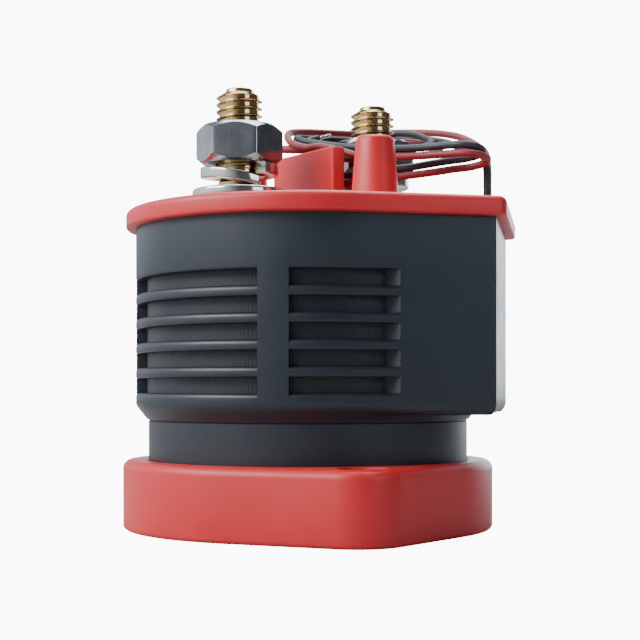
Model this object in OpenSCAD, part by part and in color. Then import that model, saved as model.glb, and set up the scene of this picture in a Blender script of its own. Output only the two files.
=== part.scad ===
// High voltage DC contactor with a round louvred housing, two threaded terminals and flying coil leads.
// Millimetres, +Z up, origin on the vertical axis at the bottom of the base, +X towards the lead pocket.

/* [Base] */
// Radius of the round red base
base_r = 32.3; // [31:0.1:36]
// Height of the base
base_h = 12; // [10:0.1:14]
// Thickness of the base floor
base_floor = 2.4; // [1.6:0.1:4]
// Direction of the near mounting ear
ear_angle = -65; // [-90:1:-40]
// Distance of the ear's corner circle from the axis
ear_reach = 30; // [28:0.1:32]
// Radius of the ear's corner circle
ear_r = 8.7; // [7:0.1:10]
// Diameter of the circle through the two mounting holes
mount_pcd = 67; // [64:0.1:70]
// Wall of the base around each bushing
seat_wall = 1; // [0.6:0.1:2]
// Hole through each bushing
mount_hole_d = 5.5; // [5:0.1:6]
// Outside of each bushing
bushing_d = 8; // [7:0.1:9]
// How far each bushing's top lies below the base's top
bushing_sink = 0.4; // [0:0.1:1]

/* [Housing] */
// Radius of the black neck
neck_r = 27.9; // [26:0.1:30]
// Height where the neck meets the louvred housing
neck_top = 19; // [17:0.1:20]
// Radius of the louvred wall
body_r = 30.1; // [29:0.1:32]
// Height of the housing's top rim
body_top = 51.8; // [50:0.1:56]
// Distance of the pocket's end face from the axis
block_end = 33.9; // [33:0.1:36]
// Half width of the pocket at its end face
block_half = 17.9; // [16:0.1:20]
// Corner radius of the pocket
corner_r = 0.5; // [0.4:0.1:4]
// Thickness of the coil case and pocket walls
case_wall = 2; // [1.5:0.1:2.4]

/* [Louvres] */
// Number of louvre slots one above another
slot_count = 5; // [3:1:6]
// Spacing of the louvre slots
slot_pitch = 4.25; // [3.8:0.05:4.5]
// Height of one slot
slot_h = 2.5; // [2:0.05:3.2]
// Depth of one slot
slot_depth = 2; // [1:0.1:2.4]
// Height of the lowest slot
slot_z = 23.5; // [23:0.1:25]

/* [Lid] */
// Height of the lid's rim
lid_h = 3.2; // [2.6:0.1:4]
// Overhang of the lid past the housing
lid_over = 1.7; // [1:0.1:2]
// Corner radius of the lid over the pocket
lid_corner_r = 2; // [1:0.1:4]
// Height of the barrier above the lid
barrier_h = 10.7; // [8:0.1:12]
// Thickness of the barrier wall
barrier_t = 2.7; // [2:0.1:3.5]
// Half length of the barrier wall
barrier_half = 9.6; // [9:0.1:12]
// Distance of each barrier pillar from the axis
pillar_at = 20; // [18:0.1:22]
// Pillar diameter at the lid
pillar_d = 8; // [7:0.1:9]
// Pillar diameter at its top
pillar_top_d = 6.3; // [5:0.1:7]

/* [Terminals] */
// Distance between the two terminal studs
stud_spacing = 28.1; // [27.4:0.1:29.4]
// Direction of the right stud
stud_angle = 44; // [40:1:48]
// Outside diameter of the stud thread
stud_d = 7.9; // [7.8:0.05:8]
// Height of the stud tip above the lid
stud_h = 20.3; // [20:0.1:24]
// Width of the nut across its flats
nut_af = 13; // [12.8:0.1:13]
// Height of the nut
nut_h = 6.6; // [6:0.1:6.8]
// Height of the open spring washer
lock_free_h = 4.3; // [3.8:0.1:4.4]
// Thickness of the spring washer
lock_t = 1.9; // [1.6:0.1:2.2]

/* [Mechanism] */
// Opening between the contacts
contact_gap = 2; // [1.2:0.1:2.2]
// Extra plunger travel after the contacts meet
overtravel = 0.5; // [0.3:0.1:0.8]
// Radius of the plunger
plunger_r = 8.15; // [7.5:0.05:8.2]
// Radius of the shaft
shaft_r = 2; // [1.6:0.1:2.2]
// Wire of the return spring
return_wire = 0.7; // [0.5:0.05:0.9]
// Wire of the contact spring
contact_wire = 0.9; // [0.7:0.05:1]

/* [Leads] */
// Outside diameter of each coil lead
lead_d = 1.3; // [1.1:0.05:1.35]
// Diameter of the stripped end
strand_d = 0.75; // [0.6:0.05:0.9]
// Length of the stripped end
strand_l = 3.6; // [3:0.1:4]

/* [Hidden] */
$fn = 96;
eps = 0.01;
fit = 0.1;
seat_gap = 0.15;
face_gap = 0.05;
bite = 0.05;
red = [0.75, 0.13, 0.13];
black = [0.07, 0.08, 0.1];
steel = [0.66, 0.67, 0.69];
gold = [0.8, 0.68, 0.42];
copper = [0.75, 0.42, 0.27];
brass = [0.75, 0.6, 0.28];

lid_z = body_top + lid_h;
floor_z = base_floor;
case_floor = 1.6;
coil_z = floor_z + case_floor;
lip_h = 2.2;
body_floor = neck_top + lip_h;
cavity_r = body_r - slot_depth - 1.6;
chamfer_h = 2.4;
block_z = neck_top + 1;
pocket_half = block_half - case_wall;
pocket_end = block_end - case_wall;

collar_h = 1.5;
collar_r = 8.2;
washer_t = 1.6;
washer_r = 8;
washer_hole_r = 4.2;
lock_r = 6.65;
collar_z = lid_z;
washer_z = collar_z + collar_h;
lock_z = washer_z + washer_t;
nut_z = lock_z + lock_free_h;
stud_top = lid_z + stud_h;
stud_hole_r = 5.1;
shank_r = 5;
pitch_r = stud_d / 2 - 0.35;
spigot_r = 3.5;
spigot_h = 3;
stud_xy = [cos(stud_angle), sin(stud_angle)] * stud_spacing / 2;
mount_xy = [cos(ear_angle), sin(ear_angle)] * mount_pcd / 2;

travel = contact_gap + overtravel;
can_t = 1.6;
can_gap = 1.8;
coil_air = 2;
can_r = min(neck_r - case_wall, cavity_r) - can_gap;
plate_drop = 24.8;
plate_z = body_top - plate_drop;
plate_t = 2.6;
deck_z = plate_z + plate_t;
sleeve_t = 0.5;
sleeve_floor = 0.6;
swage_r = 6;
rivet_fit = 0.02;
shaft_play = 0.08;
sleeve_r = plunger_r + fit + sleeve_t;
bobbin_z = coil_z + can_t;
bobbin_r = sleeve_r + 0.25;
bobbin_t = 1;
cheek_t = 1.2;
bumper_h = 1.2;
bumper_r = 7;
plunger_z = coil_z + sleeve_floor + bumper_h;
core_h = 8.35;
plunger_h = plate_z - plunger_z - travel - core_h - face_gap;
core_z = plate_z - core_h;
pocket_r = 4.3;
pocket_h = 4.5;
return_r = 3.3;
contact_r = 3.7;
spring_seat_z = deck_z + 0.9;
spring_seat_h = 1.2;
spring_seat_r = 5.2;
contact_spring_z = spring_seat_z + spring_seat_h;
contact_spring_h = 4.6;
bar_z = contact_spring_z + contact_spring_h;
bar_t = 2.8;
pad_t = 0.8;
bar_r = 5.2;
pad_r = 4.2;
fixed_r = 6;
clip_z = bar_z + bar_t + face_gap;
clip_t = 0.7;
clip_r = 4.2;
groove_r = shaft_r - 0.5;
flange_r = 3.4;
flange_t = 0.6;
shaft_in = 2;
shaft_over = 1.7;
fixed_z = bar_z + bar_t + pad_t + contact_gap + face_gap;
roof_z = body_top - 4.8;
roof_t = 3;
chamber_top = roof_z + roof_t;
chamber_half = 8.5;
chamber_wall = 2.2;
chamber_end = stud_spacing / 2 - 1.5;
magnet_l = 22;
magnet_h = 13;
magnet_t = 4;
magnet_in = chamber_half + chamber_wall;
keeper_t = 1.2;
board_t = 1.6;
board_half = pocket_half - 1.1;
board_h = body_top - body_floor - 3.6;
board_x = pocket_end - seat_gap - board_t;
grommet_x = block_end - 2.5;
grommet_r = 2.2;
grommet_z = lid_z + 0.8;

// Centreline of the black lead, from the grommet to the stripped end
black_route = [
    [grommet_x + 0.1, -1, grommet_z], [grommet_x + 0.1, -1, 59], [31.4, -1, 62],
    [30.6, 0.2, 64.6], [28.6, 3.6, 66], [26, 8.8, 67.5], [23, 14.5, 69.5], [18.6, 19.5, 71],
    [12.5, 22.5, 71.8], [6.4, 21.8, 71.6], [1.8, 18, 71.2], [-1.6, 13, 70.6], [-3.4, 8.4, 70],
    [-2.4, 4.6, 68.9], [0.6, 2, 67.9], [5, 0.2, 66.9], [10, -2.5, 66], [15.5, -4.2, 65.4],
    [20.5, -5.4, 65.2], [24.4, -6.9, 65.2], [27.8, -8.2, 65.1], [30, -7.4, 64.8], [31, -5.1, 64.5],
    [30, -2.8, 64.1], [27.8, -1.9, 63.7], [25, -2.5, 63.3], [22, -3.1, 62.8], [18, -3.3, 62.2],
    [13.5, -3, 61.9], [8.5, -1.5, 61.6], [4, 1.5, 61.6], [1, 6, 62.5], [0.8, 11, 64.3],
    [3, 15.5, 67], [7.5, 18.8, 70], [12.5, 18.9, 72.1], [16.5, 16.8, 71.6], [19.8, 12.5, 69.8],
    [21, 8, 68.3], [20, 3.5, 66.8], [16, 0.4, 66], [11, 0, 65.9], [6.2, 1.9, 66.2],
    [3, 3.4, 66.8], [0.4, 4.8, 67.4], [-1, 6.2, 68.2], [-1.7, 7.9, 69], [-1.3, 9.7, 69.8],
    [-0.3, 11.4, 70.4]
];
// Centreline of the red lead, from the grommet to the stripped end
red_route = [
    [grommet_x + 0.1, 1, grommet_z], [grommet_x + 0.1, 1, 59], [31.5, 1, 62],
    [31.1, 2.2, 65], [29.8, 5.4, 66.8], [27.4, 10.2, 69], [24.2, 16, 71], [19.4, 21, 72.5],
    [12.5, 24, 73.3], [5.8, 23.2, 73.1], [0.7, 19, 72.7], [-3.1, 13.5, 72], [-5, 8, 70.8],
    [-3.8, 3.2, 68.4], [-0.6, 0.6, 66.9], [2.2, -0.5, 66.8], [5.5, -1.6, 65.9], [10, -3.2, 64.5],
    [15.5, -4.5, 64], [20.5, -5.7, 63.8], [24.4, -7.2, 63.7], [28.4, -8.6, 63.6], [30.8, -7.6, 63.3],
    [31.8, -5.2, 63], [30.8, -2.8, 62.6], [28.4, -1.9, 62.2], [26, -2.4, 61.9], [22.4, -3.3, 61.3],
    [18, -3.6, 60.8], [13.5, -3.2, 60.5], [8.5, -1.8, 60.2], [4, 1, 60.2], [0.2, 6, 61],
    [-0.6, 11.5, 62.5], [2, 17, 64.8], [7.3, 20.2, 68.3], [13, 20.2, 70.5], [17.5, 17.6, 70.1],
    [21.3, 13, 68.3], [22.5, 8, 66.9], [21.3, 3, 65.4], [16.5, -0.9, 64.5], [11, -0.6, 64.4],
    [6.2, 0.9, 64.8], [1.6, 2.6, 66.2], [-2, 3.3, 67], [-4.8, 4.6, 67.4], [-6.4, 7.2, 67.8],
    [-5.6, 10.1, 68.2], [-3.6, 12, 68.4]
];

// A flat bar with softly rounded corners
module soft_bar(half, t) {
    soft = 0.6;
    square([2 * half, t - 2 * soft], center = true);
    square([2 * (half - soft), t], center = true);
    for (x = [-1, 1], y = [-1, 1]) translate([x * (half - soft), y * (t / 2 - soft)]) circle(soft);
}

// A flat bar of width 2r with round ends at the given half spacing
module round_bar(half, r) {
    square([2 * half, 2 * r], center = true);
    for (s = [-1, 1]) translate([s * half, 0]) circle(r);
}

module ring(z, h, outer, inner) {
    translate([0, 0, z])
        difference() {
            cylinder(h = h, r = outer);
            translate([0, 0, -eps]) cylinder(h = h + 2 * eps, r = inner);
        }
}

// The pocket's flanks run straight from its end face into the round wall, a hair below its surface
module pocket_outline(grow, soft) {
    round_in = body_r - bite;
    lean = atan2(block_half, block_end) + acos(round_in / norm([block_end, block_half]));
    normal = [cos(lean), sin(lean)];
    end = block_end + grow;
    reach = round_in + grow;
    corner = [end - soft, (reach - soft - (end - soft) * normal[0]) / normal[1]];
    half = [reach * normal, corner + soft * normal, corner, corner + [soft, 0]];
    polygon(concat(half, [for (i = [3 : -1 : 0]) [half[i][0], -half[i][1]]]));
    for (s = [-1, 1]) translate([corner[0], s * corner[1]]) circle(soft);
}

// Two opposite ears with straight sides, which enter the round parts a hair below their surface
module base_outline() {
    circle(base_r);
    lean = acos((base_r - ear_r) / ear_reach);
    for (a = [ear_angle, ear_angle + 180])
        rotate(a) {
            translate([ear_reach, 0]) circle(ear_r);
            edge = [for (s = [-1, 1]) [cos(lean), s * sin(lean)]];
            at = [ear_reach, 0];
            in_r = ear_r - bite;
            out_r = base_r - bite;
            polygon([out_r * edge[0], at + in_r * edge[0], at + in_r * edge[1], out_r * edge[1]]);
            translate([mount_pcd / 2, 0]) circle(bushing_d / 2 + seat_wall);
        }
}

// Room that the bushings and their walls need beside the coil case
module bushing_room(grow) {
    for (s = [-1, 1])
        translate([s * mount_xy[0], s * mount_xy[1], 0])
            cylinder(h = base_h + grow, r = bushing_d / 2 + seat_wall + grow);
}

module base_cup() {
    color(red)
        difference() {
            linear_extrude(base_h) base_outline();
            difference() {
                translate([0, 0, base_floor]) cylinder(h = base_h, r = neck_r + seat_gap);
                bushing_room(0);
            }
            for (s = [-1, 1])
                translate([s * mount_xy[0], s * mount_xy[1], -eps])
                    cylinder(h = base_h + 2 * eps, d = bushing_d);
        }
}

module bushing(side) {
    color(brass)
        translate([side * mount_xy[0], side * mount_xy[1], 0])
            ring(0, base_h - bushing_sink, bushing_d / 2, mount_hole_d / 2);
}

module bushing_front() {
    bushing(1);
}

module bushing_rear() {
    bushing(-1);
}

module coil_case() {
    lip_r = neck_r - case_wall - 0.4;
    color(black)
        difference() {
            union() {
                translate([0, 0, floor_z]) cylinder(h = neck_top - floor_z, r = neck_r);
                translate([0, 0, neck_top - eps]) cylinder(h = lip_h + eps, r = lip_r);
            }
            translate([0, 0, coil_z]) cylinder(h = neck_top - coil_z - 2, r = neck_r - case_wall);
            translate([0, 0, coil_z]) cylinder(h = neck_top, r = can_r + 2 * seat_gap);
            bushing_room(seat_gap);
        }
}

// A run of louvre slots between two directions, each end given at the wall and at the slot floor
module louvre_slot(start_out, start_in, end_out, end_in) {
    deep = body_r - slot_depth;
    far = 2;
    from_in = deep * [cos(start_in), sin(start_in)];
    from_out = body_r * [cos(start_out), sin(start_out)];
    to_in = deep * [cos(end_in), sin(end_in)];
    to_out = body_r * [cos(end_out), sin(end_out)];
    middle = (start_out + end_out) / 2;
    difference() {
        linear_extrude(slot_h)
            polygon([[0, 0], from_in, from_in + (from_out - from_in) * far,
                     2 * body_r * [cos(middle), sin(middle)],
                     to_in + (to_out - to_in) * far, to_in]);
        translate([0, 0, -eps]) cylinder(h = slot_h + 2 * eps, r = deep);
    }
}

module louvres() {
    rib = 4.75;
    for (i = [0 : slot_count - 1])
        translate([0, 0, slot_z + i * slot_pitch])
            for (s = [0, 1])
                mirror([0, s]) {
                    louvre_slot(90 - rib, 90 - rib, 51.7, 53.5);
                    louvre_slot(180 - rib, 180 - rib, 90 + rib, 90 + rib);
                }
}

module housing() {
    rail = [1.2, 3.4, board_h - 3];
    color(black) {
        difference() {
            union() {
                rotate_extrude()
                    polygon([[0, neck_top], [neck_r + 0.3, neck_top], [body_r, neck_top + chamfer_h],
                             [body_r, body_top], [0, body_top]]);
                translate([0, 0, block_z]) linear_extrude(body_top - block_z) pocket_outline(0, corner_r);
            }
            translate([0, 0, neck_top - eps]) cylinder(h = lip_h + 1, r = neck_r - case_wall - 0.3);
            translate([0, 0, body_floor]) cylinder(h = body_top, r = cavity_r);
            translate([0, -pocket_half, body_floor]) cube([pocket_end, 2 * pocket_half, body_top]);
            louvres();
        }
        for (s = [0, 1])
            mirror([0, s, 0])
                translate([board_x - seat_gap - rail[0], pocket_half - rail[1] + eps, body_floor - eps])
                    cube(rail);
    }
}

module pillar() {
    soft = 0.8;
    rotate_extrude()
        polygon([[0, -eps], [pillar_d / 2, -eps], [pillar_top_d / 2, barrier_h - soft],
                 [pillar_top_d / 2 - 0.3 * soft, barrier_h - 0.3 * soft],
                 [pillar_top_d / 2 - soft, barrier_h], [0, barrier_h]]);
}

module lid() {
    lip_r = cavity_r - 2 * seat_gap;
    color(red)
        difference() {
            union() {
                translate([0, 0, body_top])
                    linear_extrude(lid_h) {
                        circle(body_r + lid_over);
                        pocket_outline(lid_over, lid_corner_r);
                    }
                ring(chamber_top + seat_gap, body_top - chamber_top, lip_r, lip_r - 1.5);
                rotate(stud_angle - 90) {
                    translate([0, 0, lid_z - eps])
                        linear_extrude(barrier_h + eps) soft_bar(barrier_half, barrier_t);
                    for (s = [-1, 1]) translate([s * pillar_at, 0, lid_z]) pillar();
                }
            }
            for (s = [-1, 1])
                translate([s * stud_xy[0], s * stud_xy[1], body_top - eps])
                    cylinder(h = lid_h + 2 * eps, r = stud_hole_r);
            translate([grommet_x, 0, body_top - eps]) cylinder(h = lid_h + 2 * eps, r = grommet_r);
        }
}

// Terminal stud, with its thread at the pitch diameter inside the nut and at the outside diameter above it
module stud(side) {
    free_z = nut_z + nut_h + 0.3;
    tip = 1.4;
    pilot_r = 2.3;
    r = stud_d / 2;
    color(gold)
        translate([side * stud_xy[0], side * stud_xy[1], 0])
            rotate_extrude()
                polygon([[0, roof_z - spigot_h], [spigot_r, roof_z - spigot_h], [spigot_r, roof_z],
                         [shank_r, roof_z], [shank_r, collar_z], [collar_r, collar_z], [collar_r, washer_z],
                         [pitch_r, washer_z], [pitch_r, free_z], [r, free_z],
                         [r, stud_top - tip], [pilot_r + 0.3, stud_top - 0.7],
                         [pilot_r, stud_top], [0, stud_top]]);
}

module stud_left() {
    stud(-1);
}

module stud_right() {
    stud(1);
}

module flat_washer(side) {
    color(steel)
        translate([side * stud_xy[0], side * stud_xy[1], 0])
            ring(washer_z, washer_t, washer_r, washer_hole_r);
}

module flat_washer_left() {
    flat_washer(-1);
}

module flat_washer_right() {
    flat_washer(1);
}

// Faces of a tube whose rings of points follow one another, with flat ends
function tube_faces(rings, sides) = concat(
    [[for (k = [0 : sides - 1]) k]],
    [for (i = [0 : rings - 2], k = [0 : sides - 1])
        let (n = (k + 1) % sides) [i * sides + k, (i + 1) * sides + k, (i + 1) * sides + n, i * sides + n]],
    [[for (k = [sides - 1 : -1 : 0]) (rings - 1) * sides + k]]
);

// Split spring washer, open as new: it springs up from its low end
module spring_washer(side) {
    steps = 40;
    split = -42;
    sweep = 348;
    inner = 4.15;
    rise = lock_free_h - lock_t;
    points = [for (i = [0 : steps])
        let (a = split - 6 - sweep * i / steps, z = lock_z + rise * (1 - pow(1 - i / steps, 4)))
        for (c = [[inner, 0], [lock_r, 0], [lock_r, lock_t], [inner, lock_t]])
            [c[0] * cos(a), c[0] * sin(a), z + c[1]]];
    color(steel)
        translate([side * stud_xy[0], side * stud_xy[1], 0])
            polyhedron(points, tube_faces(steps + 1, 4), convexity = 6);
}

module spring_washer_left() {
    spring_washer(-1);
}

module spring_washer_right() {
    spring_washer(1);
}

module nut(side) {
    corner = nut_af / 2 / cos(30);
    bevel = 0.55;
    turn = stud_angle + (side < 0 ? 22 : 20);
    color(steel)
        translate([side * stud_xy[0], side * stud_xy[1], nut_z])
            difference() {
                intersection() {
                    rotate(turn) cylinder(h = nut_h, r = corner, $fn = 6);
                    rotate_extrude()
                        polygon([[0, 0], [nut_af / 2, 0], [corner, bevel], [corner, nut_h - bevel],
                                 [nut_af / 2, nut_h], [0, nut_h]]);
                }
                translate([0, 0, -eps]) cylinder(h = nut_h + 2 * eps, r = pitch_r + face_gap);
            }
}

module nut_left() {
    nut(-1);
}

module nut_right() {
    nut(1);
}

module lead_grommet() {
    color(black)
        translate([grommet_x, 0, 0]) {
            translate([0, 0, body_top]) cylinder(h = lid_h, r = grommet_r - face_gap);
            translate([0, 0, lid_z]) cylinder(h = grommet_z - lid_z, r = grommet_r + 0.6);
        }
}

function unit(v) = v / norm(v);
// A plain round tube along a route, with one ring at each of its points
module lead_tube(route, d) {
    sides = 8;
    n = len(route);
    points = [for (i = [0 : n - 1])
        let (ahead = i == 0 ? [0, 0, 1] : unit(route[min(i + 1, n - 1)] - route[i - 1]))
        let (side = unit(cross(ahead, abs(ahead[2]) > 0.9 ? [0, 1, 0] : [0, 0, 1])))
        let (up = cross(side, ahead))
        for (k = [0 : sides - 1])
            route[i] + d / 2 * (cos(360 * k / sides) * side + sin(360 * k / sides) * up)];
    polyhedron(points, tube_faces(n, sides), convexity = 10);
}

module lead_black() {
    color(black) lead_tube(black_route, lead_d);
}

module lead_red() {
    color(red) lead_tube(red_route, lead_d);
}

module lead_tip(route) {
    n = len(route);
    ahead = unit(route[n - 1] - route[n - 2]);
    color(steel)
        translate(route[n - 1])
            rotate([0, acos(ahead[2]), atan2(ahead[1], ahead[0])])
                translate([0, 0, face_gap]) cylinder(h = strand_l, d = strand_d);
}

module lead_tip_black() {
    lead_tip(black_route);
}

module lead_tip_red() {
    lead_tip(red_route);
}

module arc_chamber() {
    color([0.9, 0.88, 0.82])
        rotate(stud_angle)
            difference() {
                translate([0, 0, deck_z])
                    linear_extrude(chamber_top - deck_z)
                        round_bar(chamber_end, chamber_half + chamber_wall);
                translate([0, 0, deck_z - eps])
                    linear_extrude(roof_z - deck_z + eps) round_bar(chamber_end, chamber_half);
                for (s = [-1, 1])
                    translate([s * stud_spacing / 2, 0, roof_z - eps])
                        cylinder(h = roof_t + 2 * eps, r = stud_hole_r);
            }
}

module fixed_contact(side) {
    color(copper)
        translate([side * stud_xy[0], side * stud_xy[1], 0])
            difference() {
                translate([0, 0, fixed_z]) cylinder(h = roof_z - fixed_z, r = fixed_r);
                translate([0, 0, roof_z - spigot_h - eps])
                    cylinder(h = spigot_h + 2 * eps, r = spigot_r + face_gap);
            }
}

module fixed_contact_left() {
    fixed_contact(-1);
}

module fixed_contact_right() {
    fixed_contact(1);
}

module bridge_bar() {
    color(copper)
        rotate(stud_angle)
            difference() {
                translate([0, 0, bar_z]) linear_extrude(bar_t) round_bar(stud_spacing / 2, bar_r);
                translate([0, 0, bar_z - eps]) cylinder(h = bar_t + 2 * eps, r = shaft_r + fit);
            }
}

module bridge_pads() {
    color(steel)
        rotate(stud_angle)
            for (s = [-1, 1])
                translate([s * stud_spacing / 2, 0, bar_z + bar_t]) cylinder(h = pad_t, r = pad_r);
}

// A round-wire spring standing between two seats
module coil_spring(z, h, mean_r, wire, turns) {
    sides = 6;
    steps = turns * 14;
    low = z + wire / 2 + face_gap;
    rise = h - wire - 2 * face_gap;
    points = [for (i = [0 : steps])
        let (a = 360 * turns * i / steps, mid = [mean_r * cos(a), mean_r * sin(a), low + rise * i / steps])
        for (k = [0 : sides - 1])
            let (c = wire / 2 * cos(360 * k / sides), s = wire / 2 * sin(360 * k / sides))
            mid + [c * cos(a), c * sin(a), s]];
    polyhedron(points, tube_faces(steps + 1, sides), convexity = 10);
}

module contact_spring() {
    color(steel) coil_spring(contact_spring_z, contact_spring_h, contact_r, contact_wire, 3);
}

module spring_seat() {
    color([0.85, 0.82, 0.74]) ring(spring_seat_z, spring_seat_h, spring_seat_r, shaft_r + face_gap);
}

module shaft() {
    flange_z = spring_seat_z - flange_t;
    color(steel)
        rotate_extrude()
            polygon([[0, plunger_z + shaft_in], [shaft_r, plunger_z + shaft_in], [shaft_r, flange_z],
                     [flange_r, flange_z], [flange_r, spring_seat_z], [shaft_r, spring_seat_z],
                     [shaft_r, clip_z], [groove_r, clip_z], [groove_r, clip_z + clip_t],
                     [shaft_r, clip_z + clip_t], [shaft_r, clip_z + shaft_over], [0, clip_z + shaft_over]]);
}

// Spring clip pushed into the shaft's groove from one side
module shaft_clip() {
    color([0.3, 0.3, 0.33])
        translate([0, 0, clip_z])
            difference() {
                cylinder(h = clip_t, r = clip_r);
                translate([0, 0, -eps]) cylinder(h = clip_t + 2 * eps, r = groove_r + rivet_fit);
                translate([0, -groove_r, -eps]) cube([2 * clip_r, 2 * groove_r, clip_t + 2 * eps]);
            }
}

module plunger() {
    color(steel)
        difference() {
            translate([0, 0, plunger_z]) cylinder(h = plunger_h, r = plunger_r);
            translate([0, 0, plunger_z + shaft_in]) cylinder(h = plunger_h, r = shaft_r + rivet_fit);
            translate([0, 0, plunger_z + plunger_h - pocket_h]) cylinder(h = plunger_h, r = pocket_r);
        }
}

module return_spring() {
    low = plunger_z + plunger_h - pocket_h;
    color(steel) coil_spring(low, core_z + pocket_h - low, return_r, return_wire, 6);
}

// Pole piece hung from the yoke plate by a swaged spigot
module fixed_core() {
    color(steel)
        difference() {
            union() {
                translate([0, 0, core_z]) cylinder(h = plate_z - core_z, r = plunger_r);
                translate([0, 0, plate_z - eps]) cylinder(h = plate_t + eps, r = swage_r);
            }
            translate([0, 0, core_z - eps]) cylinder(h = 2 * core_h, r = shaft_r + shaft_play);
            translate([0, 0, core_z - eps]) cylinder(h = pocket_h + eps, r = pocket_r);
        }
}

module guide_sleeve() {
    color([0.78, 0.78, 0.8])
        difference() {
            translate([0, 0, coil_z]) cylinder(h = plate_z - coil_z, r = sleeve_r);
            translate([0, 0, coil_z + sleeve_floor]) cylinder(h = plate_z, r = sleeve_r - sleeve_t);
        }
}

module plunger_bumper() {
    color([0.1, 0.1, 0.1]) translate([0, 0, coil_z + sleeve_floor]) cylinder(h = bumper_h, r = bumper_r);
}

module bobbin() {
    color([0.88, 0.86, 0.8]) {
        ring(bobbin_z, plate_z - bobbin_z, bobbin_r + bobbin_t, bobbin_r);
        for (z = [bobbin_z, plate_z - cheek_t]) ring(z, cheek_t, can_r - can_t - 0.5, bobbin_r);
    }
}

module coil_winding() {
    low = bobbin_z + cheek_t;
    color([0.62, 0.3, 0.16])
        ring(low, plate_z - cheek_t - low, can_r - can_t - coil_air, bobbin_r + bobbin_t + face_gap);
}

module yoke_can() {
    color(steel)
        difference() {
            translate([0, 0, coil_z]) cylinder(h = plate_z - coil_z, r = can_r);
            translate([0, 0, coil_z + can_t]) cylinder(h = plate_z, r = can_r - can_t);
            translate([0, 0, coil_z - eps]) cylinder(h = can_t + 2 * eps, r = sleeve_r + 2 * seat_gap);
        }
}

module yoke_plate() {
    color(steel) ring(plate_z, plate_t, can_r, swage_r + rivet_fit);
}

module magnet(side) {
    size = [magnet_l, magnet_t, magnet_h];
    color([0.25, 0.25, 0.27])
        rotate(stud_angle)
            translate([-size[0] / 2, side > 0 ? magnet_in : -magnet_in - magnet_t, deck_z + 3.4]) cube(size);
}

module magnet_front() {
    magnet(-1);
}

module magnet_rear() {
    magnet(1);
}

// Steel strap over the chamber, with a leg behind each magnet
module magnet_keeper() {
    half = magnet_in + magnet_t;
    wide = 12;
    lift = 4.4;
    low = deck_z + lift;
    color(steel)
        rotate(stud_angle)
            difference() {
                translate([-wide / 2, -half - keeper_t, low])
                    cube([wide, 2 * (half + keeper_t), chamber_top + keeper_t - low]);
                translate([-wide, -half, low - eps]) cube([2 * wide, 2 * half, chamber_top - low + eps]);
            }
}

module control_board() {
    color([0.1, 0.35, 0.2])
        translate([board_x, -board_half, body_floor]) cube([board_t, 2 * board_half, board_h]);
}

// Parts soldered to the board: reservoir capacitor, power transistor and two resistors
module board_parts() {
    can = [3.2, 7];
    can_at = [7, 16.8];
    chip = [4.4, 10, 9];
    chip_at = [-12, 12.8];
    resistor = [1.2, 6, 2.4];
    resistor_y = -4;
    resistor_z = [3.8, 7.8];
    color([0.15, 0.15, 0.17])
        translate([board_x, 0, body_floor]) {
            translate([0, can_at[0], can_at[1]]) rotate([0, -90, 0]) cylinder(h = can[1], r = can[0]);
            translate([-chip[0], chip_at[0], chip_at[1]]) cube(chip);
            for (z = resistor_z) translate([-resistor[0], resistor_y, z]) cube(resistor);
        }
}

base_cup();
bushing_front();
bushing_rear();
coil_case();
housing();
lid();
stud_left();
stud_right();
flat_washer_left();
flat_washer_right();
spring_washer_left();
spring_washer_right();
nut_left();
nut_right();
lead_grommet();
lead_black();
lead_red();
lead_tip_black();
lead_tip_red();
arc_chamber();
fixed_contact_left();
fixed_contact_right();
bridge_bar();
bridge_pads();
contact_spring();
spring_seat();
shaft();
shaft_clip();
plunger();
return_spring();
fixed_core();
guide_sleeve();
plunger_bumper();
bobbin();
coil_winding();
yoke_can();
yoke_plate();
magnet_front();
magnet_rear();
magnet_keeper();
control_board();
board_parts();
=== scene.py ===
# %% [markdown]
# # A high voltage DC contactor
# A contactor is a heavy switch. A coil in the lower case pulls a plunger up, and the plunger lifts a copper
# bridge against two fixed contacts, which are the lower ends of the threaded terminals on the lid.
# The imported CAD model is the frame: every piece made here goes where the frame says, in metres, +Z up.

# %% Load the frame
import math

import bmesh
import bpy
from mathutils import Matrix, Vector


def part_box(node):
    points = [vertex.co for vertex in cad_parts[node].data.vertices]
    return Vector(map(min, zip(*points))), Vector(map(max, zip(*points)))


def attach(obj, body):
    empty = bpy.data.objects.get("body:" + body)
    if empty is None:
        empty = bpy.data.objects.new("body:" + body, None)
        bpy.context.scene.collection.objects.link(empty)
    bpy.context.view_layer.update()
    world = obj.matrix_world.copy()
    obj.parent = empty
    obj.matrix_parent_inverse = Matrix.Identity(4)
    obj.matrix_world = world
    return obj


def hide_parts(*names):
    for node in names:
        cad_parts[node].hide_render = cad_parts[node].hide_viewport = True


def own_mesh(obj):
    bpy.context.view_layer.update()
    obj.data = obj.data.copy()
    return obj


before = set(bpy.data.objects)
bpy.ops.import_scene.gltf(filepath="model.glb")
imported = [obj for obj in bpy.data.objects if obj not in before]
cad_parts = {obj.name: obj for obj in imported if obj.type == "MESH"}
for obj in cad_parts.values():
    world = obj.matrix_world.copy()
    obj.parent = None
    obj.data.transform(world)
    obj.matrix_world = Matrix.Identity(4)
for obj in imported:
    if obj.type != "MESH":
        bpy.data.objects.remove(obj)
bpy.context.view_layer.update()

MM = 0.001

# %% [markdown]
# ## Camera
# The photograph is taken level with the lower part of the housing, with the lens shifted up, so upright edges
# stay upright while the lid is seen a little from below. The camera is therefore level and uses shift_y.

# %% Set the camera
VIEW_TURN = math.radians(10)
VIEW_DISTANCE = 247 * MM
VIEW_SIDE = 2.12 * MM
VIEW_HEIGHT = 24.35 * MM
FRAME_PX = 640
FOCAL_PX = 1400
HORIZON_PX = 388

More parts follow.
